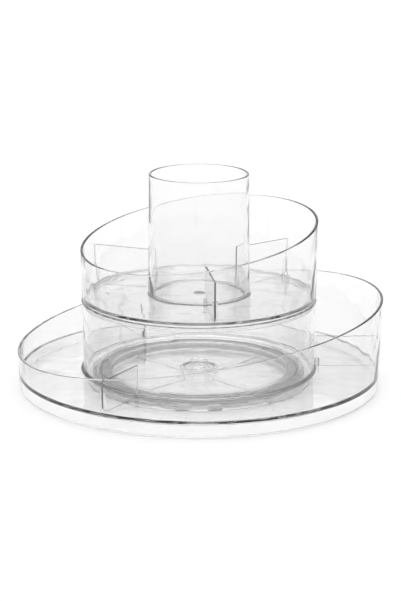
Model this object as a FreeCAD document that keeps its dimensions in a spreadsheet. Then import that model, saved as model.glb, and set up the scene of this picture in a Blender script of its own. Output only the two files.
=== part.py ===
import FreeCAD, Part
import math
import os
import re
import Sketcher
from FreeCAD import Placement, Rotation, Vector

# Two-tier turning tool caddy in clear plastic: a wide tray with a pedestal, a smaller tray with a
# central cup on top of it, six lift-out dividers, and a ball bearing on a base plate underneath.
# Millimetres. Z is up, the origin is on the turning axis at table level, and the lower rim is
# highest on the +X side.

SIZES = [
    # name, value, meaning
    ("table_gap", 1.2, "table to the lower edge of the skirt"),
    ("wall_thick", 2.2, "tray and pedestal walls"),
    ("wall_draft", 0.0327, "radius gained per millimetre of tray wall height"),
    ("rim_round", 0.7, "rounding of the rims"),
    ("tray_radius", 146.0, "lower tray, outside, at the lower edge of the skirt"),
    ("skirt_thick", 2.0, "skirt at its lower edge"),
    ("floor_under", 10.9, "underside of the lower floor"),
    ("floor_thick", 2.4, "floor of either tray"),
    ("low_rim_mean", 51.5, "height of the lower rim over the axis"),
    ("low_rim_slope", 0.147, "rise of the lower rim per millimetre along X"),
    ("low_wall_top", 82.0, "lower wall before its rim is cut on the slant"),
    ("pedestal_radius", 93.6, "pedestal, outside, at the floor"),
    ("pedestal_draft", 0.009, "radius gained per millimetre of pedestal height"),
    ("pedestal_top", 70.8, "top edge of the pedestal"),
    ("lip_out", 0.7, "lip at the top edge of the pedestal"),
    ("lip_tall", 2.0, "height of that lip"),
    ("foot_round", 2.6, "rounding at the foot of the pedestal and inside the cup"),
    ("low_corner_round", 1.0, "rounding where the lower wall meets its floor"),
    ("up_corner_round", 0.9, "rounding where the upper wall and the cup's outside meet the floor"),
    ("seat_radius", 92.1, "inside of the pedestal's top edge, where the upper tray turns"),
    ("seat_deep", 3.5, "depth of that seat"),
    ("run_gap", 0.06, "clearance of turning fits"),
    ("upper_radius", 94.6, "upper tray, outside, at its lower edge"),
    ("upper_draft", 0.0127, "radius gained per millimetre of upper wall height"),
    ("heel_round", 1.8, "rounding round the lower outer edge of the upper tray"),
    ("upper_floor", 74.6, "top of the upper floor"),
    ("spigot_thick", 2.4, "ring under the upper floor that sits in the pedestal"),
    ("up_rim_mean", 123.9, "height of the upper rim over the axis"),
    ("up_rim_slope", 0.1582, "rise of the upper rim per millimetre towards its high side"),
    ("up_wall_top", 146.0, "upper wall before its rim is cut on the slant"),
    ("upper_turn", 37.6, "angle of the upper tray from the lower one at rest"),
    ("cup_radius", 40.9, "cup, outside, at the floor"),
    ("cup_lean", 0.0102, "radius lost per millimetre of cup height"),
    ("cup_top", 172.7, "rim of the cup"),
    ("cup_wall_top", 2.0, "cup wall at the rim"),
    ("cup_wall_foot", 3.2, "cup wall at the floor"),
    ("gate_radius", 5.0, "moulding mark in the cup floor"),
    ("gate_deep", 0.4, "depth of that mark"),
    ("panel_thick", 1.5, "divider"),
    ("panel_gap", 0.15, "clearance between a divider and its socket"),
    ("panel_lift", 0.05, "clearance between a divider and the floor"),
    ("panel_corner", 4.0, "cut across the lower outer corner of a divider"),
    ("panel_inset", 0.9, "inner end of a divider, inwards from the centre of its round foot"),
    ("bead_radius", 1.2, "round foot at the inner end of a divider"),
    ("socket_wall", 0.9, "wall of the socket round that foot"),
    ("socket_tall", 6.0, "height of that socket"),
    ("rail_deep", 3.0, "rails that guide the outer end of a divider, inwards from the wall"),
    ("rail_thick", 1.0, "one rail, across the radius"),
    ("rail_tall", 17.5, "height of the rails at the wall"),
    ("rail_low", 13.0, "height of the rails at their inner edge"),
    ("low_socket_at", 96.2, "radius of the lower sockets"),
    ("low_panel_end", 143.9, "outer end of a lower divider at the floor"),
    ("low_panel_tall", 25.0, "height of a lower divider"),
    ("up_socket_at", 42.8, "radius of the upper sockets"),
    ("up_panel_end", 92.1, "outer end of an upper divider at the floor"),
    ("up_panel_tall", 32.0, "height of an upper divider"),
    ("ball_radius", 3.5, "bearing balls"),
    ("ball_circle", 81.0, "radius of the circle the balls roll on"),
    ("ball_height", 6.9, "height of the ball centres"),
    ("race_gap", 0.03, "clearance between a ball and its races"),
    ("race_inner", 72.5, "inside radius of both race bands"),
    ("race_outer", 86.0, "outside radius of both race bands"),
    ("top_race_under", 9.5, "underside of the upper race band"),
    ("base_race_top", 4.3, "top of the lower race band"),
    ("cage_inner", 71.5, "ball cage, inside"),
    ("cage_outer", 85.5, "ball cage, outside"),
    ("cage_under", 5.8, "underside of the cage"),
    ("cage_thick", 2.2, "cage thickness"),
    ("pocket_radius", 3.56, "ball pocket in the cage"),
    ("plate_radius", 91.0, "base plate, outside"),
    ("plate_under", 1.6, "underside of the base plate"),
    ("plate_thick", 1.8, "base plate thickness"),
    ("plate_edge", 1.6, "raised edge of the base plate, across"),
    ("plate_edge_top", 6.0, "top of the raised edge"),
    ("rib_wide", 4.0, "base plate ribs"),
    ("rib_top", 5.2, "top of the ribs"),
    ("rib_bite", 1.0, "how far a rib runs into the race band"),
    ("post_radius", 9.3, "centre post of the base plate"),
    ("post_top", 11.0, "top of the post"),
    ("post_wall", 1.8, "post wall and lid"),
    ("hub_hole", 13.03, "centre hole of the lower tray"),
    ("hub_boss", 15.2, "ring under the lower tray round its centre hole"),
    ("hub_boss_under", 5.5, "underside of that ring"),
    ("grip_deep", 1.0, "height of the small ribs round that ring"),
    ("snap_inner", 11.2, "snap legs, inside"),
    ("snap_hook", 14.6, "snap legs, outside of the hooks"),
    ("snap_gap", 0.08, "clearance between the snap legs and the centre hole"),
    ("snap_wide", 14.0, "width of a snap leg"),
    ("hook_tall", 2.8, "height of a hook"),
    ("hook_face", 0.8, "upright face of a hook, from its underside"),
    ("hook_slope", 0.7, "how much narrower than its leg a hook is at the top"),
    ("foot_radius", 7.0, "rubber foot"),
    ("foot_circle", 81.0, "radius of the circle of feet"),
    ("foot_set", 0.6, "depth of a foot's recess in the base plate"),
    ("foot_gap", 0.03, "clearance between a foot and its recess"),
]

DIVIDERS_PER_TIER = 3
BALLS = 6
FEET = 4
FIRST_BALL_ANGLE = -15.0
FIRST_FOOT_ANGLE = 45.0
FIRST_RIB_ANGLE = 45.0
RIBS = 4
GRIPS = 20
MARGIN = 10.0  # how far a cutting outline runs past what it cuts, and less than any rim's rise

doc = FreeCAD.newDocument("tool_caddy")
sheet = doc.addObject("Spreadsheet::Sheet", "sizes")
for row, (alias, value, meaning) in enumerate(SIZES, start=1):
    sheet.set(f"A{row}", meaning)
    sheet.set(f"B{row}", str(value))
    sheet.setAlias(f"B{row}", alias)
doc.recompute()

ALIASES = {alias for alias, value, meaning in SIZES}


def size(alias):
    """A driving dimension as a number."""
    return float(getattr(sheet, alias))


def bound(text):
    """The expression with each dimension's name pointing into the sheet."""
    return re.sub(r"[a-z]\w*", lambda word: "sizes." + word[0] if word[0] in ALIASES else word[0], text)


def bind(item, **expressions):
    """Ties properties of an object to expressions in the sheet's names."""
    for name, text in expressions.items():
        item.setExpression(name, bound(text))
    doc.recompute()


def origin_feature(body, role):
    """One of the body's own origin planes or axes."""
    return next(feature for feature in body.Origin.OriginFeatures if feature.Role == role)


def new_sketch(body, name, role, height=None):
    """An empty sketch on an origin plane, raised by an expression if one is given."""
    sketch = body.newObject("Sketcher::SketchObject", name)
    sketch.AttachmentSupport = [(origin_feature(body, role), "")]
    sketch.MapMode = "FlatFace"
    if height:
        sketch.setExpression("AttachmentOffset.Base.z", bound(height))
    doc.recompute()
    return sketch


def pin(sketch, curve, point, coordinates):
    """Holds a point of a curve at two coordinates given as expressions."""
    for kind, axis, text in zip(("DistanceX", "DistanceY"), (-2, -1), coordinates):
        value = number(sketch, text)
        if abs(value) < 1e-9:
            sketch.addConstraint(Sketcher.Constraint("PointOnObject", curve, point, axis))
            continue
        index = sketch.addConstraint(Sketcher.Constraint(kind, -1, 1, curve, point, value))
        sketch.setExpression(f"Constraints[{index}]", bound(text))


def number(item, text):
    """The present value of an expression."""
    value = item.evalExpression(bound(text))
    return float(getattr(value, "Value", value))


def outline(sketch, points):
    """Adds a closed outline of straight sides through points given as pairs of expressions."""
    places = [Vector(number(sketch, x), number(sketch, y), 0) for x, y in points]
    first = sketch.GeometryCount
    count = len(points)
    for index, start in enumerate(places):
        sketch.addGeometry(Part.LineSegment(start, places[(index + 1) % count]), False)
    for index in range(count):
        following = first + (index + 1) % count
        sketch.addConstraint(Sketcher.Constraint("Coincident", first + index, 2, following, 1))
    for index, point in enumerate(points):
        pin(sketch, first + index, 1, point)


def disc(sketch, x, y, radius):
    """Adds a circle whose centre and radius are expressions."""
    centre = Vector(number(sketch, x), number(sketch, y), 0)
    curve = sketch.addGeometry(Part.Circle(centre, Vector(0, 0, 1), number(sketch, radius)), False)
    pin(sketch, curve, 3, (x, y))
    index = sketch.addConstraint(Sketcher.Constraint("Radius", curve, number(sketch, radius)))
    sketch.setExpression(f"Constraints[{index}]", bound(radius))


def rectangle(sketch, left, low, right, high):
    """Adds a rectangle whose sides are expressions."""
    outline(sketch, [(left, low), (right, low), (right, high), (left, high)])


def volume(body):
    """The body's volume so far."""
    doc.recompute()
    return body.Shape.Volume if body.Tip else 0.0


def feature(body, kind, name, sketch, grows, **values):
    """Adds a sketch-based feature and makes sure that it added or removed material."""
    before = volume(body)
    item = body.newObject("PartDesign::" + kind, name)
    item.Profile = sketch
    for key, value in values.items():
        if isinstance(value, str) and key in ("Length", "Angle"):
            item.setExpression(key, bound(value))
        else:
            setattr(item, key, value)
    after = volume(body)
    if (after > before) != grows or abs(after - before) < 1e-6:
        raise RuntimeError(f"{body.Label}: {name} changed the volume from {before} to {after}")
    return item


def turned(body, name, points):
    """Adds a ring made by turning an outline of radius and height pairs about Z."""
    sketch = new_sketch(body, name + "_outline", "XZ_Plane")
    outline(sketch, points)
    return feature(body, "Revolution", name, sketch, True, ReferenceAxis=(sketch, ["V_Axis"]), Angle=360)


def ball_track(body, name):
    """Cuts the round groove that the balls roll in."""
    sketch = new_sketch(body, name + "_outline", "XZ_Plane")
    disc(sketch, "ball_circle", "ball_height", "ball_radius + race_gap")
    return feature(body, "Groove", name, sketch, False, ReferenceAxis=(sketch, ["V_Axis"]), Angle=360)


def around(body, name, originals, count):
    """Repeats features evenly about Z."""
    before = volume(body)
    pattern = body.newObject("PartDesign::PolarPattern", name)
    pattern.Originals = originals
    pattern.Axis = (origin_feature(body, "Z_Axis"), [""])
    pattern.Angle = 360
    pattern.Occurrences = count
    body.Tip = pattern
    if abs(volume(body) - before) < 1e-6:
        raise RuntimeError(f"{body.Label}: {name} repeats nothing")


def circles(shape, radius, height):
    """Names of the full circles about Z of one radius at one height."""
    found = []
    for index, edge in enumerate(shape.Edges, start=1):
        curve = edge.Curve
        if isinstance(curve, Part.Circle) and math.hypot(curve.Center.x, curve.Center.y) < 1e-4:
            if abs(curve.Radius - radius) < 1e-3 and abs(curve.Center.z - height) < 1e-3:
                found.append(f"Edge{index}")
    if not found:
        raise RuntimeError(f"no circle of radius {radius} at height {height}")
    return found


def slanted_edges(shape):
    """Names of the closed edges that the slanted cut left, which rise and fall by more than MARGIN."""
    found = []
    for index, edge in enumerate(shape.Edges, start=1):
        if edge.isClosed() and edge.BoundBox.ZLength > MARGIN:
            found.append(f"Edge{index}")
    return found


def rounded(body, name, edges, radius):
    """Rounds named edges of the body's present shape."""
    base = body.Tip
    fillet = body.newObject("PartDesign::Fillet", name)
    fillet.Base = (base, edges)
    fillet.setExpression("Radius", bound(radius))
    doc.recompute()


def new_body(label):
    """An empty body for one piece."""
    body = doc.addObject("PartDesign::Body", label)
    body.Label = label
    return body


def turn_about_z(item, angle):
    """Places a piece by turning it about the axis of the caddy."""
    item.Placement = Placement(Vector(0, 0, 0), Rotation(Vector(0, 0, 1), angle))


def slanted_rim(body, mean, slope, reach, top):
    """Cuts a tray wall down to its slanting rim plane, which is highest over the first divider."""
    sketch = new_sketch(body, "rim_plane", "XZ_Plane")
    reach = f"({reach} + {MARGIN})"
    top = f"{top} + {MARGIN}"
    outline(sketch, [
        (f"-{reach}", f"{mean} - {slope} * {reach}"),
        (reach, f"{mean} + {slope} * {reach}"),
        (reach, top),
        (f"-{reach}", top),
    ])
    return feature(body, "Pocket", "rim_cut", sketch, False, Type=1, Midplane=True)


def sockets(body, socket_at, panel_end, floor):
    """Adds the three sockets that hold the dividers, each a slotted ring and a pair of wall rails."""
    root = f"{floor} - 0.5 * floor_thick"
    ring = new_sketch(body, "socket_ring", "XY_Plane", root)
    disc(ring, socket_at, "0", "bead_radius + panel_gap + socket_wall")
    ring = feature(body, "Pad", "socket", ring, True, Length="socket_tall + 0.5 * floor_thick")
    near = "(0.5 * panel_thick + panel_gap)"
    wall = f"({panel_end} + 0.5 * wall_thick)"
    rails = []
    for side, start in (("left", near), ("right", f"-{near} - rail_thick")):
        rail = new_sketch(body, side + "_rail_outline", "XZ_Plane", start)
        outline(rail, [
            (f"{wall} - rail_deep", root),
            (wall, root),
            (wall, f"{floor} + rail_tall"),
            (f"{wall} - rail_deep", f"{floor} + rail_low"),
        ])
        rails.append(feature(body, "Pad", side + "_rail", rail, True, Length="rail_thick"))
    hole = new_sketch(body, "socket_bore", "XY_Plane", f"{floor} + socket_tall")
    disc(hole, socket_at, "0", "bead_radius + panel_gap")
    hole = feature(body, "Pocket", "bore", hole, False, Length="socket_tall")
    slot = new_sketch(body, "socket_slot", "XY_Plane", f"{floor} + socket_tall")
    rectangle(slot, socket_at, f"-{near}", f"{socket_at} + 2 * bead_radius + socket_wall", near)
    slot = feature(body, "Pocket", "slot", slot, False, Length="socket_tall")
    around(body, "all_sockets", [ring, *rails, hole, slot], DIVIDERS_PER_TIER)


def lower_tray():
    """The wide tray with its skirt, slanting rim, floor, pedestal and bearing track."""
    body = new_body("lower_tray")
    floor = "(floor_under + floor_thick)"
    outer_at_top = "tray_radius + wall_draft * (low_wall_top - table_gap)"
    outer_at_floor = f"tray_radius + wall_draft * ({floor} - table_gap)"
    turned(body, "wall_and_skirt", [
        ("tray_radius", "table_gap"),
        (outer_at_top, "low_wall_top"),
        (f"{outer_at_top} - wall_thick", "low_wall_top"),
        (f"{outer_at_floor} - wall_thick", floor),
        ("plate_radius", floor),
        ("plate_radius", "floor_under"),
        ("tray_radius - wall_thick", "floor_under"),
        ("tray_radius - skirt_thick", "table_gap"),
    ])
    slanted_rim(body, "low_rim_mean", "low_rim_slope", "tray_radius", "low_wall_top")
    rounded(body, "rim_rounding", slanted_edges(body.Shape), "rim_round")
    inner_at_floor = size("tray_radius") - size("wall_thick") + size("wall_draft") * (
        size("floor_under") + size("floor_thick") - size("table_gap")
    )
    corner = circles(body.Shape, inner_at_floor, size("floor_under") + size("floor_thick"))
    rounded(body, "floor_corner", corner, "low_corner_round")
    under_lip = "(pedestal_top - lip_tall)"
    outer_at_lip = f"pedestal_radius + pedestal_draft * ({under_lip} - {floor})"
    turned(body, "pedestal_and_hub", [
        ("hub_hole", "hub_boss_under"),
        ("hub_boss", "hub_boss_under"),
        ("hub_boss", "floor_under"),
        ("race_inner", "floor_under"),
        ("race_inner", "top_race_under"),
        ("race_outer", "top_race_under"),
        ("race_outer", "floor_under"),
        ("pedestal_radius + foot_round + wall_thick", "floor_under"),
        ("pedestal_radius + foot_round + wall_thick", floor),
        ("pedestal_radius", floor),
        (outer_at_lip, under_lip),
        (f"{outer_at_lip} + lip_out", f"{under_lip} + lip_out"),
        (f"{outer_at_lip} + lip_out", "pedestal_top"),
        ("seat_radius", "pedestal_top"),
        ("seat_radius", "pedestal_top - seat_deep"),
        (f"{outer_at_lip} - wall_thick - lip_out", "pedestal_top - seat_deep"),
        ("pedestal_radius - wall_thick - lip_out", floor),
        ("hub_hole", floor),
    ])
    foot = circles(body.Shape, size("pedestal_radius"), size("floor_under") + size("floor_thick"))
    rounded(body, "pedestal_foot", foot, "foot_round")
    ball_track(body, "upper_race")
    grip = new_sketch(body, "grip_rib", "XY_Plane", "hub_boss_under")
    rectangle(grip, "hub_boss - grip_deep", "-0.5 * grip_deep", "hub_boss + grip_deep", "0.5 * grip_deep")
    grip = feature(body, "Pad", "grip", grip, True, Length="floor_under - hub_boss_under")
    around(body, "all_grips", [grip], GRIPS)
    sockets(body, "low_socket_at", "low_panel_end", floor)
    return body


def upper_tray():
    """The small tray that turns on the pedestal, moulded in one with the tool cup."""
    body = new_body("upper_tray")
    under = "(upper_floor - floor_thick)"
    rest = "(pedestal_top + run_gap)"
    outer_at_top = f"upper_radius + upper_draft * (up_wall_top - {rest})"
    outer_at_floor = f"upper_radius + upper_draft * (upper_floor - {rest})"
    turned(body, "wall_and_spigot", [
        ("upper_radius", rest),
        (outer_at_top, "up_wall_top"),
        (f"{outer_at_top} - wall_thick", "up_wall_top"),
        (f"{outer_at_floor} - wall_thick", "upper_floor"),
        ("cup_radius + wall_thick", "upper_floor"),
        ("cup_radius + wall_thick", under),
        ("seat_radius - run_gap - spigot_thick", under),
        ("seat_radius - run_gap - spigot_thick", "pedestal_top + lip_out - seat_deep"),
        ("seat_radius - run_gap", "pedestal_top + lip_out - seat_deep"),
        ("seat_radius - run_gap", rest),
    ])
    slanted_rim(body, "up_rim_mean", "up_rim_slope", "upper_radius", "up_wall_top")
    rounded(body, "rim_rounding", slanted_edges(body.Shape), "rim_round")
    inner_at_floor = size("upper_radius") - size("wall_thick") + size("upper_draft") * (
        size("upper_floor") - size("pedestal_top") - size("run_gap")
    )
    corner = circles(body.Shape, inner_at_floor, size("upper_floor"))
    rounded(body, "floor_corner", corner, "up_corner_round")
    heel = circles(body.Shape, size("upper_radius"), size("pedestal_top") + size("run_gap"))
    rounded(body, "heel_rounding", heel, "heel_round")
    outer_at_rim = "cup_radius - cup_lean * (cup_top - upper_floor)"
    turned(body, "cup", [
        ("0", under),
        ("cup_radius + 2 * wall_thick", under),
        ("cup_radius + 2 * wall_thick", "upper_floor"),
        ("cup_radius", "upper_floor"),
        (outer_at_rim, "cup_top"),
        (f"{outer_at_rim} - cup_wall_top", "cup_top"),
        ("cup_radius - cup_wall_foot", "upper_floor"),
        ("gate_radius", "upper_floor"),
        ("gate_radius", "upper_floor - gate_deep"),
        ("0", "upper_floor - gate_deep"),
    ])
    floor_height = size("upper_floor")
    rim_radius = size("cup_radius") - size("cup_lean") * (size("cup_top") - floor_height)
    foot = circles(body.Shape, size("cup_radius"), floor_height)
    rounded(body, "cup_foot", foot, "up_corner_round")
    foot = circles(body.Shape, size("cup_radius") - size("cup_wall_foot"), floor_height)
    rounded(body, "cup_corner", foot, "foot_round")
    rim = circles(body.Shape, rim_radius, size("cup_top"))
    rim += circles(body.Shape, rim_radius - size("cup_wall_top"), size("cup_top"))
    rounded(body, "cup_rim", rim, "rim_round")
    sockets(body, "up_socket_at", "up_panel_end", "upper_floor")
    turn_about_z(body, size("upper_turn"))
    return body


def divider(label, angle, socket_at, end, draft, floor, tall):
    """An upright panel with a round foot at its inner end, made along +X and then turned."""
    body = new_body(label)
    bottom = f"{floor} + panel_lift"
    top = f"{floor} + {tall}"
    inner = f"{socket_at} - panel_inset"
    panel = new_sketch(body, "panel_outline", "XZ_Plane")
    outline(panel, [
        (inner, bottom),
        (f"{end} - panel_corner", bottom),
        (end, f"{bottom} + panel_corner"),
        (f"{end} + {draft} * {tall}", top),
        (inner, top),
    ])
    feature(body, "Pad", "panel", panel, True, Length="panel_thick", Midplane=True)
    bead = new_sketch(body, "bead_outline", "XY_Plane", bottom)
    disc(bead, socket_at, "0", "bead_radius")
    feature(body, "Pad", "bead", bead, True, Length="socket_tall - 2 * panel_lift")
    turn_about_z(body, angle)
    return body


def base_plate():
    """The plate that stands still, with its bearing track, ribs, centre post and two snap legs."""
    body = new_body("base_plate")
    top = "(plate_under + plate_thick)"
    leg_outer = "hub_hole - snap_gap"
    hook_under = "(floor_under + floor_thick + run_gap)"
    turned(body, "plate_and_snap_ring", [
        ("snap_inner", "plate_under"),
        ("plate_radius", "plate_under"),
        ("plate_radius", "plate_edge_top"),
        ("plate_radius - plate_edge", "plate_edge_top"),
        ("plate_radius - plate_edge", top),
        ("race_outer", top),
        ("race_outer", "base_race_top"),
        ("race_inner", "base_race_top"),
        ("race_inner", top),
        (leg_outer, top),
        (leg_outer, hook_under),
        ("snap_hook", hook_under),
        ("snap_hook", f"{hook_under} + hook_face"),
        (f"{leg_outer} - hook_slope", f"{hook_under} + hook_tall"),
        ("snap_inner", f"{hook_under} + hook_tall"),
    ])
    gaps = new_sketch(body, "gaps_between_legs", "XZ_Plane")
    for side in ("", "-"):
        near = f"{side}(0.5 * snap_wide)"
        far = f"{side}(snap_hook + wall_thick)"
        high = f"{hook_under} + 2 * hook_tall"
        rectangle(gaps, near, top, far, high)
    feature(body, "Pocket", "leg_gaps", gaps, False, Type=1, Midplane=True)
    turned(body, "post", [
        ("0", "post_top - post_wall"),
        ("post_radius - post_wall", "post_top - post_wall"),
        ("post_radius - post_wall", "plate_under"),
        ("snap_inner + wall_thick", "plate_under"),
        ("snap_inner + wall_thick", top),
        ("post_radius", top),
        ("post_radius", "post_top"),
        ("0", "post_top"),
    ])
    ball_track(body, "lower_race")
    rib = new_sketch(body, "rib_outline", "XY_Plane", "plate_under")
    rectangle(rib, "hub_boss + 2 * grip_deep", "-0.5 * rib_wide", "race_inner + rib_bite", "0.5 * rib_wide")
    turn_sketch(rib, FIRST_RIB_ANGLE)
    rib = feature(body, "Pad", "rib", rib, True, Length="rib_top - plate_under")
    around(body, "all_ribs", [rib], RIBS)
    recess = new_sketch(body, "foot_recess", "XY_Plane", "plate_under + foot_set")
    disc(recess, "foot_circle", "0", "foot_radius + foot_gap")
    turn_sketch(recess, FIRST_FOOT_ANGLE)
    recess = feature(body, "Pocket", "recess", recess, False, Length="foot_set + plate_thick")
    around(body, "all_recesses", [recess], FEET)
    return body


def turn_sketch(sketch, angle):
    """Turns a flat sketch about Z, keeping its height."""
    sketch.setExpression("AttachmentOffset.Rotation.Angle", f"{angle} * 1deg")
    doc.recompute()


def bearing_cage():
    """The flat ring that keeps the balls evenly spaced."""
    body = new_body("bearing_cage")
    ring = new_sketch(body, "ring_outline", "XY_Plane", "cage_under")
    disc(ring, "0", "0", "cage_outer")
    disc(ring, "0", "0", "cage_inner")
    feature(body, "Pad", "ring", ring, True, Length="cage_thick")
    pocket = new_sketch(body, "ball_pocket", "XY_Plane", "cage_under + cage_thick")
    disc(pocket, "ball_circle", "0", "pocket_radius")
    pocket = feature(body, "Pocket", "pocket", pocket, False, Length="cage_thick")
    around(body, "all_pockets", [pocket], BALLS)
    turn_about_z(body, FIRST_BALL_ANGLE)
    return body


def bearing_ball(number_of, angle):
    """One steel ball of the bearing."""
    ball = doc.addObject("Part::Sphere", f"bearing_ball_{number_of}")
    ball.Label = f"bearing_ball_{number_of}"
    bind(ball, Radius="ball_radius")
    ball.Placement = Placement(polar("ball_circle", angle, "ball_height"), Rotation())
    return ball


def base_foot(number_of, angle):
    """One rubber foot, set into the underside of the base plate."""
    foot = doc.addObject("Part::Cylinder", f"base_foot_{number_of}")
    foot.Label = f"base_foot_{number_of}"
    bind(foot, Radius="foot_radius", Height="plate_under + foot_set - foot_gap")
    foot.Placement = Placement(polar("foot_circle", angle), Rotation())
    return foot


def polar(radius, angle, height=None):
    """A point from a radius and a height in the sheet, or table level, and an angle in degrees."""
    turn = math.radians(angle)
    reach = size(radius)
    return Vector(reach * math.cos(turn), reach * math.sin(turn), size(height) if height else 0.0)


LOWER_DIVIDERS = ["lower_divider_right", "lower_divider_back_left", "lower_divider_front_left"]
UPPER_DIVIDERS = ["upper_divider_back_right", "upper_divider_back_left", "upper_divider_front"]

pieces = [base_plate(), bearing_cage(), lower_tray(), upper_tray()]
for index in range(DIVIDERS_PER_TIER):
    step = 360.0 / DIVIDERS_PER_TIER * index
    pieces.append(divider(
        LOWER_DIVIDERS[index], step,
        "low_socket_at", "low_panel_end", "wall_draft", "(floor_under + floor_thick)", "low_panel_tall",
    ))
    pieces.append(divider(
        UPPER_DIVIDERS[index], size("upper_turn") + step,
        "up_socket_at", "up_panel_end", "upper_draft", "upper_floor", "up_panel_tall",
    ))
for index in range(BALLS):
    pieces.append(bearing_ball(index + 1, FIRST_BALL_ANGLE + 360.0 / BALLS * index))
for index in range(FEET):
    pieces.append(base_foot(index + 1, FIRST_FOOT_ANGLE + 360.0 / FEET * index))

doc.recompute()
for item in doc.Objects:
    if "Invalid" in item.State or "Error" in item.State:
        raise RuntimeError(f"{item.Label} failed: {item.State}")
for piece in pieces:
    if piece.Shape.isNull() or not piece.Shape.isValid():
        raise RuntimeError(f"{piece.Label} has no valid shape")

os.makedirs("parts", exist_ok=True)
for piece in pieces:
    piece.Shape.exportStep(f"parts/{piece.Label}.step")
    print(piece.Label, len(piece.Shape.Solids), round(piece.Shape.Volume / 1000, 2), "cm3")
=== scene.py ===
"""Looks of the two-tier turning tool caddy: clear moulded plastic around a steel ball bearing.

Metres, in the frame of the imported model: Z up, origin on the turning axis at table level. The heights
of the floors, the skirt, the spigot, the cup and the dividers come from the frame. The sizes that a box
can't tell, such as radii, wall thicknesses, slopes and roundings, are the named values below.
"""

import math

import bmesh
import bpy
from mathutils import Matrix, Vector


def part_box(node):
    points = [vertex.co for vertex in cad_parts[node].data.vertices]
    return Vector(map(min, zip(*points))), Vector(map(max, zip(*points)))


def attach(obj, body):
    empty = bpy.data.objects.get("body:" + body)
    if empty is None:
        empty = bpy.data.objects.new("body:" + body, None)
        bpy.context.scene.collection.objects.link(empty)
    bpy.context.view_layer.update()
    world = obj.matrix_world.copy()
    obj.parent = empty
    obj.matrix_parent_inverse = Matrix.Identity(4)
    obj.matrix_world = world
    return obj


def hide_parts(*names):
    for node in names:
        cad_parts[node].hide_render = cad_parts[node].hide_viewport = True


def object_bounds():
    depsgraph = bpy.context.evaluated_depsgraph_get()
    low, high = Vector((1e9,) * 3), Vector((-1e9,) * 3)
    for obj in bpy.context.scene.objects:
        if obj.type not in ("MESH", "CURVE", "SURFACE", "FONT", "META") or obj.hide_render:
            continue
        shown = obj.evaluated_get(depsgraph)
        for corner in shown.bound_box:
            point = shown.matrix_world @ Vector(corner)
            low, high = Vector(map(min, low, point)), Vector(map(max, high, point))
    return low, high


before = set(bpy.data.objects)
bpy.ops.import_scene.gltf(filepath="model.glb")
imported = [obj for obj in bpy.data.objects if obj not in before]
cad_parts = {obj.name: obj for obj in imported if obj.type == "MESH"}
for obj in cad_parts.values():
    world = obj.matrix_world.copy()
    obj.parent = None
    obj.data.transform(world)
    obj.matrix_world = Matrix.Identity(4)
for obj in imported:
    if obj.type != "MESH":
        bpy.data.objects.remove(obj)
cad_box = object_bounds()

MM = 0.001
STEPS = 288          # facets round a turned piece
ARC_STEPS = 5        # facets round a moulded corner
SOCKET_STEPS = 40    # facets round a socket
RACE_STEPS = 8       # facets across a ball groove
NEARLY_STRAIGHT = math.pi / 2 - 0.02

# mouldings
WALL = 2.2 * MM
FLOOR = 2.4 * MM
TRAY_DRAFT = 0.0327
UPPER_DRAFT = 0.0127
RIM_ROUND = 0.7 * MM
FOOT_ROUND = 2.6 * MM
LOW_CORNER_ROUND = 1.0 * MM
UP_CORNER_ROUND = 0.9 * MM
HEEL_ROUND = 1.8 * MM
EDGE_ROUND = 0.3 * MM
PANEL_GAP = 0.15 * MM
PANEL_LIFT = 0.05 * MM
RUN_GAP = 0.06 * MM

# lower tray
SKIRT_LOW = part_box("lower_tray")[0].z
TRAY_RADIUS = 146.0 * MM
SKIRT_THICK = 2.0 * MM
LOW_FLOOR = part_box("lower_divider_right")[0].z - PANEL_LIFT
LOW_RIM_MEAN = 51.5 * MM
LOW_RIM_SLOPE = 0.147
PEDESTAL = 93.6 * MM
PEDESTAL_TOP = 70.8 * MM
PEDESTAL_DRAFT = 0.009
LIP_OUT = 0.7 * MM
LIP_TALL = 2.0 * MM
SEAT = 92.1 * MM
SEAT_DEEP = 3.5 * MM
HUB_HOLE = 13.03 * MM
HUB_BOSS = 15.2 * MM
HUB_BOSS_LOW = 5.5 * MM
GRIPS = 20
GRIP_DEEP = 1.0 * MM

# upper tray
UPPER_TURN = math.radians(37.6)
UPPER_RADIUS = 94.6 * MM
UPPER_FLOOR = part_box("upper_divider_front")[0].z - PANEL_LIFT
UPPER_LOW, CUP_TOP = (corner.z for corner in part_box("upper_tray"))
UP_RIM_MEAN = 123.9 * MM
UP_RIM_SLOPE = 0.1582
SPIGOT_THICK = 2.4 * MM
CUP_RADIUS = 40.9 * MM
CUP_LEAN = 0.0102
CUP_WALL_TOP = 2.0 * MM
CUP_WALL_FOOT = 3.2 * MM
GATE_RADIUS = 5.0 * MM
GATE_DEEP = 0.4 * MM

# dividers and their sockets
PANEL = 1.5 * MM
PANEL_CORNER = 4.0 * MM
PANEL_INSET = 0.9 * MM
PANEL_ROUND = 0.6 * MM
PANEL_BEVEL = 0.2 * MM
BEAD = 1.2 * MM
BEAD_LIFT = 0.04 * MM
SOCKET_WALL = 0.9 * MM
SOCKET_TALL = 6.0 * MM
CUT_LIFT = 0.02 * MM
RAIL_DEEP = 3.0 * MM
RAIL_THICK = 1.0 * MM
RAIL_BEVEL = 0.15 * MM
RAIL_TALL = 17.5 * MM
RAIL_LOW = 13.0 * MM
LOW_SOCKET_AT = 96.2 * MM
UP_SOCKET_AT = 42.8 * MM
LOW_PANEL_END = 143.9 * MM
UP_PANEL_END = 92.1 * MM

# bearing
BALL_CIRCLE = 81.0 * MM
BALL_HEIGHT = 6.9 * MM
BALL_GROOVE = 3.53 * MM
RACE_INNER = 72.5 * MM
RACE_OUTER = 86.0 * MM
RACE_LOW = 9.5 * MM

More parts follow.
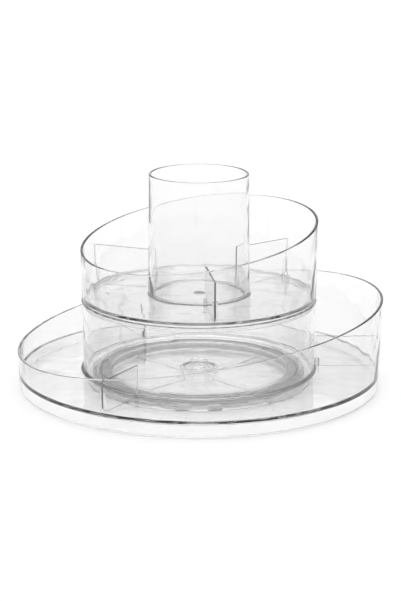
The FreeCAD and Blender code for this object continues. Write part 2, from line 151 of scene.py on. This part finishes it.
LOWER_DIVIDERS = {
    "lower_divider_right": 0,
    "lower_divider_back_left": 120,
    "lower_divider_front_left": 240,
}
UPPER_DIVIDERS = {
    "upper_divider_back_right": 0,
    "upper_divider_back_left": 120,
    "upper_divider_front": 240,
}

# plastic
STYRENE_IOR = 1.57
TRAY_TINT = 0.995
# The divider edges' dark tint is painted shade: it darkens their thin edge faces where the dim room
# would shade them.
EDGE_PAINTED_SHADE_TINT = 0.3
GATE_TINT = 0.55
TRAY_GREY = 6.0
PANEL_GREY = 12.0
BASE_GREY = 3.0
WAVE_SCALE = 38.0
WAVES = 0.45 * MM
PANEL_WAVES = 0.1 * MM
RIPPLE = 5.0              # how much deeper the waves are at the foot of the upper walls
RIPPLE_TALL = 30.0 * MM
SCRATCH_DEEP = 0.05 * MM
GRAIN_DEEP = 0.1 * MM

# table
TABLE_GAP = 0.2 * MM
TABLE_REACH = 40.0

# light: the glow of the floor, seen directly and in reflections, and the parts of the studio
FLOOR_GLOW = 0.18
MIRRORED_GLOW = 0.1
BACKDROP = 1.05
BESIDE_BACKDROP = 0.55
ROOM = 0.3
OVERHEAD = 1.9

# camera: its distance in front of the axis, height, tilt and lens
VIEW_BACK = 1.5232
VIEW_HIGH = 0.4732
VIEW_DOWN = math.radians(14.9)
LENS = 116.78
LENS_SHIFT = 0.00264


# ---------------------------------------------------------------- meshes

def rounded(corners):
    """Points along a closed outline, with each corner (x, y, rounding, tag) turned into an arc."""
    points = []
    for index, (x, y, radius, tag) in enumerate(corners):
        here = complex(x, y)
        before = complex(*corners[index - 1][:2])
        after = complex(*corners[(index + 1) % len(corners)][:2])
        back = (before - here) / abs(before - here)
        ahead = (after - here) / abs(after - here)
        half = math.acos(max(-1.0, min(1.0, (back * ahead.conjugate()).real))) / 2
        if radius <= 0 or half > NEARLY_STRAIGHT:
            points.append((x, y, tag))
            continue
        centre = here + (back + ahead) / abs(back + ahead) * radius / math.sin(half)
        start = here + back * radius / math.tan(half) - centre
        sweep = ahead / -back
        turn = math.atan2(sweep.imag, sweep.real)
        for step in range(ARC_STEPS + 1):
            arc = start * complex(math.cos(turn * step / ARC_STEPS), math.sin(turn * step / ARC_STEPS))
            spot = centre + arc
            points.append((spot.real, spot.imag, tag))
    return points


def level(corners):
    """Corners (x, y, rounding) with no lift."""
    return [(x, y, radius, 0.0) for x, y, radius in corners]


def new_object(name, mesh):
    """Links a mesh to the scene as a new piece."""
    piece = bpy.data.objects.new(name, mesh)
    bpy.context.scene.collection.objects.link(piece)
    return piece


def turned(name, points, rise=None, draft=0.0, steps=STEPS):
    """A ring-shaped closed mesh: points (radius, height, lift) turned about Z, lifted by rise(angle)."""
    build = bmesh.new()
    rings = []
    for step in range(steps):
        angle = 2 * math.pi * step / steps
        lifted = rise(angle) if rise else 0.0
        ring = []
        for radius, height, lift in points:
            reach = radius + draft * lift * lifted
            spot = (reach * math.cos(angle), reach * math.sin(angle), height + lift * lifted)
            ring.append(build.verts.new(spot))
        rings.append(ring)
    count = len(points)
    for step in range(steps):
        here, there = rings[step], rings[(step + 1) % steps]
        for index in range(count):
            after = (index + 1) % count
            build.faces.new((here[index], there[index], there[after], here[after]))
    bmesh.ops.remove_doubles(build, verts=build.verts, dist=1e-6)
    bmesh.ops.dissolve_degenerate(build, edges=build.edges, dist=1e-7)
    return finished(name, build)


def prism(name, outline, low, high, bevel=0.0):
    """A closed mesh: a flat outline of (x, y) points raised from low to high, with softened edges."""
    build = bmesh.new()
    bottom = build.faces.new([build.verts.new((x, y, low)) for x, y in outline])
    top = bmesh.ops.extrude_face_region(build, geom=[bottom])["geom"]
    raised = [item for item in top if isinstance(item, bmesh.types.BMVert)]
    bmesh.ops.translate(build, vec=(0, 0, high - low), verts=raised)
    bmesh.ops.recalc_face_normals(build, faces=build.faces)
    if bevel:
        sharp = [edge for edge in build.edges if edge.calc_face_angle(0) > math.radians(40)]
        bmesh.ops.bevel(build, geom=sharp, offset=bevel, segments=3, profile=0.5, affect="EDGES")
    return finished(name, build)


def finished(name, build):
    """Turns a bmesh into a smooth-shaded object with its normals facing out."""
    bmesh.ops.recalc_face_normals(build, faces=build.faces)
    mesh = bpy.data.meshes.new(name)
    build.to_mesh(mesh)
    build.free()
    mesh.shade_smooth()
    return new_object(name, mesh)


def joined(body, extras, operation="UNION"):
    """Adds small solids to a body, or cuts them away with DIFFERENCE, and then removes them."""
    tool = extras[0]
    build = bmesh.new()
    for extra in extras:
        build.from_mesh(extra.data)
    build.to_mesh(tool.data)
    build.free()
    change = body.modifiers.new("extras", "BOOLEAN")
    change.operation = operation
    change.solver = "EXACT"
    change.object = tool
    bake(body)
    for extra in extras:
        bpy.data.objects.remove(extra)
    return body


def bake(piece):
    """Applies a piece's modifiers, so that its own mesh is the final one."""
    depsgraph = bpy.context.evaluated_depsgraph_get()
    mesh = bpy.data.meshes.new_from_object(piece.evaluated_get(depsgraph))
    piece.modifiers.clear()
    piece.data = mesh


def soften(piece, sharp_degrees=38):
    """Shades a piece smoothly, with true creases kept and normals led by the larger faces."""
    piece.data.shade_smooth()
    piece.data.set_sharp_from_angle(angle=math.radians(sharp_degrees))
    weights = piece.modifiers.new("weighted_normals", "WEIGHTED_NORMAL")
    weights.keep_sharp = True
    weights.weight = 80


def upright(piece):
    """Stands a flat prism up, so that its outline lies in the XZ plane."""
    piece.data.transform(Matrix.Rotation(math.pi / 2, 4, "X"))
    return piece


def about_z(piece, angle):
    """Turns a piece's mesh about Z."""
    piece.data.transform(Matrix.Rotation(angle, 4, "Z"))
    return piece


def dress(piece, *materials):
    """Gives a piece its materials, in place of those it had."""
    piece.data.materials.clear()
    for finish in materials:
        piece.data.materials.append(finish)


def place(piece, body, node):
    """Hands a finished piece to its body, in place of its CAD node."""
    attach(piece, body)
    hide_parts(node)
    return piece


# ---------------------------------------------------------------- trays

def circle(at, radius, opening=0.0):
    """Points round a circle centred on the X axis, open by twice the angle opening towards +X."""
    points = []
    for step in range(SOCKET_STEPS):
        turn = opening + 2 * (math.pi - opening) * step / (SOCKET_STEPS - 1 if opening else SOCKET_STEPS)
        points.append((at + radius * math.cos(turn), radius * math.sin(turn)))
    return points


def socket_post(floor, at, angle):
    """The small round post that takes the foot of a divider, in place on its floor."""
    outline = circle(at, BEAD + PANEL_GAP + SOCKET_WALL)
    return about_z(prism("post", outline, floor - FLOOR / 2, floor + SOCKET_TALL), angle)


def keyhole(floor, at, angle):
    """What is cut from that post: a bore for the round foot and a slot for the panel."""
    bore = BEAD + PANEL_GAP
    half_slot = PANEL / 2 + PANEL_GAP
    outline = circle(at, bore, math.asin(half_slot / bore))
    far = at + 2 * BEAD + SOCKET_WALL
    outline += [(far, -half_slot), (far, half_slot)]
    return about_z(prism("keyhole", outline, floor + CUT_LIFT, floor + 2 * SOCKET_TALL), angle)


def rails(floor, end, angle):
    """The two rails on the wall that guide the outer end of a divider, lower at their inner edge."""
    pair = []
    wall = end + WALL / 2
    near = PANEL / 2 + PANEL_GAP
    outline = [
        (wall - RAIL_DEEP, floor - FLOOR / 2), (wall, floor - FLOOR / 2),
        (wall, floor + RAIL_TALL), (wall - RAIL_DEEP, floor + RAIL_LOW),
    ]
    for start in (near, -near - RAIL_THICK):
        rail = upright(prism("rail", outline, start, start + RAIL_THICK, RAIL_BEVEL))
        pair.append(about_z(rail, angle))
    return pair


def add_sockets(tray, dividers, floor, socket_at, panel_end):
    """Gives a tray the slotted posts and wall rails that hold its dividers."""
    extras = []
    cuts = []
    for degrees in dividers.values():
        angle = math.radians(degrees)
        extras.append(socket_post(floor, socket_at, angle))
        extras += rails(floor, panel_end, angle)
        cuts.append(keyhole(floor, socket_at, angle))
    joined(tray, extras)
    joined(tray, cuts, "DIFFERENCE")


def grip_ribs():
    """Small ribs round the ring under the centre of the lower tray."""
    ribs = []
    for index in range(GRIPS):
        outline = [
            (HUB_BOSS - GRIP_DEEP, -GRIP_DEEP / 2), (HUB_BOSS + GRIP_DEEP, -GRIP_DEEP / 2),
            (HUB_BOSS + GRIP_DEEP, GRIP_DEEP / 2), (HUB_BOSS - GRIP_DEEP, GRIP_DEEP / 2),
        ]
        rib = prism("grip", outline, HUB_BOSS_LOW, LOW_FLOOR - FLOOR / 2)
        ribs.append(about_z(rib, 2 * math.pi * index / GRIPS))
    return ribs


def race_arc(height):
    """The round groove that the balls roll in, where it cuts a flat face at this height."""
    half = math.acos((height - BALL_HEIGHT) / BALL_GROOVE)
    arc = []
    for step in range(RACE_STEPS + 1):
        turn = half * (1 - 2 * step / RACE_STEPS)
        radius = BALL_CIRCLE - BALL_GROOVE * math.sin(turn)
        arc.append((radius, BALL_HEIGHT + BALL_GROOVE * math.cos(turn), 0.0))
    return arc


def lower_tray(plastic):
    """Skirt, slanting rim, floor, pedestal and upper race in one moulding."""
    under = LOW_FLOOR - FLOOR
    rim = TRAY_RADIUS + TRAY_DRAFT * (LOW_RIM_MEAN - SKIRT_LOW)
    inner = TRAY_RADIUS + TRAY_DRAFT * (LOW_FLOOR - SKIRT_LOW) - WALL
    lip = PEDESTAL_TOP - LIP_TALL
    at_lip = PEDESTAL + PEDESTAL_DRAFT * (lip - LOW_FLOOR)
    before_race = rounded([
        (TRAY_RADIUS - SKIRT_THICK, SKIRT_LOW, EDGE_ROUND, 0),
        (TRAY_RADIUS, SKIRT_LOW, EDGE_ROUND, 0),
        (rim, LOW_RIM_MEAN, RIM_ROUND, 1),
        (rim - WALL, LOW_RIM_MEAN, RIM_ROUND, 1),
        (inner, LOW_FLOOR, LOW_CORNER_ROUND, 0),
        (PEDESTAL, LOW_FLOOR, FOOT_ROUND, 0),
        (at_lip, lip, EDGE_ROUND, 0),
        (at_lip + LIP_OUT, lip + LIP_OUT, EDGE_ROUND, 0),
        (at_lip + LIP_OUT, PEDESTAL_TOP, EDGE_ROUND, 0),
        (SEAT, PEDESTAL_TOP, EDGE_ROUND, 0),
        (SEAT, PEDESTAL_TOP - SEAT_DEEP, EDGE_ROUND, 0),
        (at_lip - WALL - LIP_OUT, PEDESTAL_TOP - SEAT_DEEP, EDGE_ROUND, 0),
        (PEDESTAL - WALL - LIP_OUT, LOW_FLOOR, EDGE_ROUND, 0),
        (HUB_HOLE, LOW_FLOOR, EDGE_ROUND, 0),
        (HUB_HOLE, HUB_BOSS_LOW, EDGE_ROUND, 0),
        (HUB_BOSS, HUB_BOSS_LOW, EDGE_ROUND, 0),
        (HUB_BOSS, under, EDGE_ROUND, 0),
        (RACE_INNER, under, EDGE_ROUND, 0),
        (RACE_INNER, RACE_LOW, EDGE_ROUND, 0),
        (BALL_CIRCLE, RACE_LOW, 0, 0),
        (RACE_OUTER, RACE_LOW, EDGE_ROUND, 0),
        (RACE_OUTER, under, EDGE_ROUND, 0),
        (TRAY_RADIUS - WALL, under, 3 * EDGE_ROUND, 0),
    ])
    race = next(i for i, point in enumerate(before_race) if abs(point[0] - BALL_CIRCLE) < 1e-9)
    points = before_race[:race] + race_arc(RACE_LOW) + before_race[race + 1:]
    tray = turned(
        "lower_tray_shell", points,
        rise=lambda angle: LOW_RIM_SLOPE * rim * math.cos(angle), draft=TRAY_DRAFT,
    )
    joined(tray, grip_ribs())
    add_sockets(tray, LOWER_DIVIDERS, LOW_FLOOR, LOW_SOCKET_AT, LOW_PANEL_END)
    dress(tray, plastic)
    soften(tray)
    return place(tray, "lower_tray", "lower_tray")


def upper_tray(plastic, gate_mark):
    """Upper wall with its slanting rim, floor, spigot and cup in one moulding, marked by its gate."""
    under = UPPER_FLOOR - FLOOR
    rest = PEDESTAL_TOP + RUN_GAP
    rim = UPPER_RADIUS + UPPER_DRAFT * (UP_RIM_MEAN - rest)
    inner = UPPER_RADIUS + UPPER_DRAFT * (UPPER_FLOOR - rest) - WALL
    cup_rim = CUP_RADIUS - CUP_LEAN * (CUP_TOP - UPPER_FLOOR)
    spigot = SEAT - RUN_GAP
    points = rounded([
        (UPPER_RADIUS, rest, HEEL_ROUND, 0),
        (rim, UP_RIM_MEAN, RIM_ROUND, 1),
        (rim - WALL, UP_RIM_MEAN, RIM_ROUND, 1),
        (inner, UPPER_FLOOR, UP_CORNER_ROUND, 0),
        (CUP_RADIUS, UPPER_FLOOR, UP_CORNER_ROUND, 0),
        (cup_rim, CUP_TOP, RIM_ROUND, 0),
        (cup_rim - CUP_WALL_TOP, CUP_TOP, RIM_ROUND, 0),
        (CUP_RADIUS - CUP_WALL_FOOT, UPPER_FLOOR, FOOT_ROUND, 0),
        (GATE_RADIUS, UPPER_FLOOR, GATE_DEEP / 3, 0),
        (GATE_RADIUS - GATE_DEEP, UPPER_FLOOR - GATE_DEEP, GATE_DEEP / 3, 0),
        (0, UPPER_FLOOR - GATE_DEEP, 0, 0),
        (0, under, 0, 0),
        (spigot - SPIGOT_THICK, under, EDGE_ROUND, 0),
        (spigot - SPIGOT_THICK, UPPER_LOW, EDGE_ROUND, 0),
        (spigot, UPPER_LOW, EDGE_ROUND, 0),
        (spigot, rest, 0, 0),
    ])
    tray = turned(
        "upper_tray_shell", points,
        rise=lambda angle: UP_RIM_SLOPE * rim * math.cos(angle), draft=UPPER_DRAFT,
    )
    add_sockets(tray, UPPER_DIVIDERS, UPPER_FLOOR, UP_SOCKET_AT, UP_PANEL_END)
    dress(tray, plastic, gate_mark)
    for face in tray.data.polygons:
        in_gate = face.center.xy.length < GATE_RADIUS and face.center.z > UPPER_FLOOR - 2 * GATE_DEEP
        face.material_index = 1 if in_gate else 0
    about_z(tray, UPPER_TURN)
    soften(tray)
    return place(tray, "upper_tray", "upper_tray")


def divider(node, angle, socket_at, end, draft, plastic, edge):
    """An upright panel with softened edges, its thin edge faces tinted darker grey as painted shade, and
    a round foot at its inner end.
    """
    low, high = (corner.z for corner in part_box(node))
    outline = rounded(level([
        (socket_at - PANEL_INSET, low, PANEL_ROUND),
        (end - PANEL_CORNER, low, PANEL_ROUND),
        (end, low + PANEL_CORNER, PANEL_ROUND),
        (end + draft * (high - low), high, PANEL_ROUND),
        (socket_at - PANEL_INSET, high, PANEL_ROUND),
    ]))
    panel = prism(node + "_panel", [point[:2] for point in outline], -PANEL / 2, PANEL / 2, PANEL_BEVEL)
    # The second material, on the thin edge faces, is a darker plastic that paints shade onto the edges.
    dress(panel, plastic, edge)
    for face in panel.data.polygons:
        face.material_index = 0 if abs(face.normal.z) > 0.9 else 1
    upright(panel)
    bead_top = low + SOCKET_TALL - BEAD_LIFT
    bead = prism("bead", circle(socket_at, BEAD), low + BEAD_LIFT, bead_top, PANEL_BEVEL)
    joined(panel, [bead])
    about_z(panel, angle)
    soften(panel)
    return place(panel, node, node)


# ---------------------------------------------------------------- materials

class Nodes:
    """A short way to build a node tree: add() makes a node, sets its inputs and links the rest."""

    def __init__(self, tree):
        self.tree = tree
        tree.nodes.clear()

    def add(self, kind, inputs=None, **settings):
        node = self.tree.nodes.new(kind)
        for name, value in settings.items():
            setattr(node, name, value)
        for name, value in (inputs or {}).items():
            if isinstance(value, bpy.types.NodeSocket):
                self.tree.links.new(value, node.inputs[name])
            else:
                node.inputs[name].default_value = value
        return node


def material(name):
    """A new node material and its builder."""
    made = bpy.data.materials.new(name)
    made.use_nodes = True
    return made, Nodes(made.node_tree)


def ramp(nodes, value, low, high, floor, ceiling):
    """Maps value from low..high to floor..ceiling, clamped."""
    return nodes.add("ShaderNodeMapRange", {
        "Value": value, "From Min": low, "From Max": high, "To Min": floor, "To Max": ceiling,
    }, clamp=True).outputs["Result"]


def clear_plastic(name, tint_and_painted_shade=TRAY_TINT, waves=WAVES, haze=0.006, grey=TRAY_GREY, ripple_at=None):
    """Clear styrene, slightly wavy from the mould and lightly handled.

    grey is how fast it dims light, per metre. The waves are deeper just above the height ripple_at. The
    tint is the plastic's own colour, except on the divider edges, where the dark tint is painted shade.
    """
    made, nodes = material(name)
    where = nodes.add("ShaderNodeTexCoord").outputs["Object"]
    flow = nodes.add("ShaderNodeTexNoise", {"Vector": where, "Scale": WAVE_SCALE, "Detail": 1.0})
    swell = nodes.add("ShaderNodeMath", {
        0: flow.outputs["Fac"], 1: 0.5,
    }, operation="SUBTRACT").outputs[0]
    if ripple_at is not None:
        up = nodes.add("ShaderNodeSeparateXYZ", {"Vector": where}).outputs["Z"]
        crest = ripple_at + RIPPLE_TALL / 4
        deeper = nodes.add("ShaderNodeMath", {
            0: ramp(nodes, up, ripple_at, crest, 1.0, RIPPLE),
            1: ramp(nodes, up, crest, ripple_at + RIPPLE_TALL, RIPPLE, 1.0),
        }, operation="MINIMUM").outputs[0]
        swell = nodes.add("ShaderNodeMath", {0: swell, 1: deeper}, operation="MULTIPLY").outputs[0]
    stretch = nodes.add("ShaderNodeMapping", {"Vector": where, "Scale": (900.0, 900.0, 60.0)})
    scratch = nodes.add("ShaderNodeTexNoise", {
        "Vector": stretch.outputs["Vector"], "Scale": 1.0, "Detail": 3.0,
    })
    hairline = ramp(nodes, scratch.outputs["Fac"], 0.66, 0.8, 0.0, 1.0)
    handling = nodes.add("ShaderNodeTexNoise", {"Vector": where, "Scale": 22.0, "Detail": 4.0})
    rough = nodes.add("ShaderNodeMath", {
        0: ramp(nodes, handling.outputs["Fac"], 0.35, 0.75, 0.0, haze),
        1: nodes.add("ShaderNodeMath", {0: hairline, 1: 0.02}, operation="MULTIPLY").outputs[0],
    }, operation="ADD")
    wavy = nodes.add("ShaderNodeBump", {"Height": swell, "Strength": 1.0, "Distance": waves})
    fine = nodes.add("ShaderNodeBump", {
        "Height": hairline, "Strength": 0.02, "Distance": SCRATCH_DEEP, "Normal": wavy.outputs["Normal"],
    })
    shader = nodes.add("ShaderNodeBsdfPrincipled", {
        "Base Color": (tint_and_painted_shade, tint_and_painted_shade, tint_and_painted_shade, 1.0), "Transmission Weight": 1.0, "IOR": STYRENE_IOR,
        "Roughness": rough.outputs[0], "Normal": fine.outputs["Normal"],
    })
    inside = nodes.add("ShaderNodeVolumeAbsorption", {"Color": (0.5, 0.5, 0.5, 1), "Density": 2 * grey})
    nodes.add("ShaderNodeOutputMaterial", {
        "Surface": shader.outputs[0], "Volume": inside.outputs[0],
    })
    return made


def grained(nodes, where, scale, detail, strength):
    """The normal of a surface with a fine moulded grain."""
    grain = nodes.add("ShaderNodeTexNoise", {"Vector": where, "Scale": scale, "Detail": detail})
    return nodes.add("ShaderNodeBump", {
        "Height": grain.outputs["Fac"], "Strength": strength, "Distance": GRAIN_DEEP,
    }).outputs["Normal"]


def frosted_grey():
    """The cage: translucent grey plastic with a fine moulded grain."""
    made, nodes = material("frosted_grey")
    where = nodes.add("ShaderNodeTexCoord").outputs["Object"]
    cloud = nodes.add("ShaderNodeTexNoise", {"Vector": where, "Scale": 60.0, "Detail": 3.0})
    tone = nodes.add("ShaderNodeValToRGB", {"Fac": cloud.outputs["Fac"]})
    tone.color_ramp.elements[0].color = (0.36, 0.36, 0.36, 1)
    tone.color_ramp.elements[1].color = (0.5, 0.5, 0.5, 1)
    round_the_axis = nodes.add("ShaderNodeTangent", direction_type="RADIAL", axis="Z").outputs["Tangent"]
    shader = nodes.add("ShaderNodeBsdfPrincipled", {
        "Base Color": tone.outputs["Color"], "Transmission Weight": 0.4, "IOR": 1.49,
        "Roughness": 0.35, "Normal": grained(nodes, where, 900.0, 2.0, 0.3),
        "Anisotropic": 0.9, "Tangent": round_the_axis,
    })
    nodes.add("ShaderNodeOutputMaterial", {"Surface": shader.outputs[0]})
    return made


def steel():
    """Polished bearing steel with a faint smear of grease."""
    made, nodes = material("bearing_steel")
    where = nodes.add("ShaderNodeTexCoord").outputs["Object"]
    smear = nodes.add("ShaderNodeTexNoise", {"Vector": where, "Scale": 400.0, "Detail": 3.0})
    shader = nodes.add("ShaderNodeBsdfPrincipled", {
        "Base Color": (0.04, 0.04, 0.042, 1), "Metallic": 1.0,
        "Roughness": ramp(nodes, smear.outputs["Fac"], 0.3, 0.7, 0.08, 0.25),
    })
    nodes.add("ShaderNodeOutputMaterial", {"Surface": shader.outputs[0]})
    return made


def rubber():
    """Soft translucent rubber of the feet."""
    made, nodes = material("foot_rubber")
    where = nodes.add("ShaderNodeTexCoord").outputs["Object"]
    shader = nodes.add("ShaderNodeBsdfPrincipled", {
        "Base Color": (0.9, 0.9, 0.9, 1), "Transmission Weight": 0.85, "IOR": 1.41,
        "Roughness": 0.35, "Normal": grained(nodes, where, 1500.0, 3.0, 0.4),
    })
    nodes.add("ShaderNodeOutputMaterial", {"Surface": shader.outputs[0]})
    return made


# ---------------------------------------------------------------- stage

def floor():
    """A plain pale floor, lit softly from below like a photographer's light table."""
    build = bmesh.new()
    bmesh.ops.create_grid(build, x_segments=1, y_segments=1, size=TABLE_REACH)
    ground = finished("floor", build)
    made, nodes = material("pale_floor")
    mirrored = nodes.add("ShaderNodeLightPath").outputs["Is Reflection Ray"]
    glow = ramp(nodes, mirrored, 0.0, 1.0, FLOOR_GLOW, MIRRORED_GLOW)
    shader = nodes.add("ShaderNodeBsdfPrincipled", {
        "Base Color": (0.8, 0.8, 0.8, 1), "Roughness": 0.9, "Specular IOR Level": 0.0,
        "Emission Color": (1, 1, 1, 1), "Emission Strength": glow,
    })
    nodes.add("ShaderNodeOutputMaterial", {"Surface": shader.outputs[0]})
    ground.data.materials.append(made)
    ground.location.z = cad_box[0][2] - TABLE_GAP


def studio():
    """Soft studio surroundings: a narrow white backdrop ahead, a soft box overhead, a dim room."""
    world = bpy.data.worlds.new("studio")
    bpy.context.scene.world = world
    world.use_nodes = True
    nodes = Nodes(world.node_tree)
    where = nodes.add("ShaderNodeTexCoord")
    view = nodes.add("ShaderNodeSeparateXYZ", {"Vector": where.outputs["Camera"]}).outputs
    up = nodes.add("ShaderNodeSeparateXYZ", {"Vector": where.outputs["Generated"]}).outputs["Z"]
    beside = nodes.add("ShaderNodeMath", {0: view["X"]}, operation="ABSOLUTE").outputs[0]
    backdrop = nodes.add("ShaderNodeMath", {
        0: ramp(nodes, view["Z"], 0.35, 0.75, 0.0, BACKDROP),
        1: ramp(nodes, beside, 0.05, 0.12, 1.0, BESIDE_BACKDROP),
    }, operation="MULTIPLY").outputs[0]
    elsewhere = ramp(nodes, up, 0.6, 0.85, ROOM, OVERHEAD)
    bright = nodes.add("ShaderNodeMath", {0: backdrop, 1: elsewhere}, operation="MAXIMUM").outputs[0]
    background = nodes.add("ShaderNodeBackground", {"Color": (1, 1, 1, 1), "Strength": bright})
    nodes.add("ShaderNodeOutputWorld", {"Surface": background.outputs[0]})


def camera():
    """The camera of the product view: low, slightly above the cup's rim, with a long lens."""
    lens = bpy.data.cameras.new("camera")
    lens.sensor_width = 36.0
    lens.lens = LENS
    lens.shift_x = LENS_SHIFT
    lens.clip_end = 100.0
    view = bpy.data.objects.new("camera", lens)
    view.location = (0.0, -VIEW_BACK, VIEW_HIGH)
    view.rotation_euler = (math.pi / 2 - VIEW_DOWN, 0, 0)
    bpy.context.scene.collection.objects.link(view)
    bpy.context.scene.camera = view


def render_quality():
    """Enough bounces for light to cross all the clear walls, and plain white kept white."""
    scene = bpy.context.scene
    scene.view_settings.view_transform = "Standard"
    cycles = scene.cycles
    cycles.max_bounces = 40
    cycles.transmission_bounces = 40
    cycles.glossy_bounces = 16
    cycles.diffuse_bounces = 4
    cycles.transparent_max_bounces = 24
    cycles.blur_glossy = 0.2


# ---------------------------------------------------------------- the caddy

tray_plastic = clear_plastic("tray_plastic")
upper_plastic = clear_plastic("upper_plastic", ripple_at=UPPER_FLOOR)
gate_mark = clear_plastic("gate_mark", GATE_TINT, haze=0.5)
panel_plastic = clear_plastic("panel_plastic", waves=PANEL_WAVES, grey=PANEL_GREY)
# The divider edges' darker plastic is painted shade, not a colour of the plastic.
panel_edge_painted_shade = clear_plastic("panel_edge_painted_shade", EDGE_PAINTED_SHADE_TINT, waves=PANEL_WAVES, grey=PANEL_GREY)
base_plastic = clear_plastic("base_plastic", haze=0.01, grey=BASE_GREY)

lower_tray(tray_plastic)
upper_tray(upper_plastic, gate_mark)
for node, degrees in LOWER_DIVIDERS.items():
    angle = math.radians(degrees)
    divider(node, angle, LOW_SOCKET_AT, LOW_PANEL_END, TRAY_DRAFT, panel_plastic, panel_edge_painted_shade)
for node, degrees in UPPER_DIVIDERS.items():
    angle = UPPER_TURN + math.radians(degrees)
    divider(node, angle, UP_SOCKET_AT, UP_PANEL_END, UPPER_DRAFT, panel_plastic, panel_edge_painted_shade)

cage_grey, ball_steel, foot_rubber = frosted_grey(), steel(), rubber()
dress(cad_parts["base_plate"], base_plastic)
dress(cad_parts["bearing_cage"], cage_grey)
for node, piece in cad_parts.items():
    if node.startswith("bearing_ball"):
        dress(piece, ball_steel)
    if node.startswith("base_foot"):
        dress(piece, foot_rubber)

floor()
studio()
camera()
render_quality()
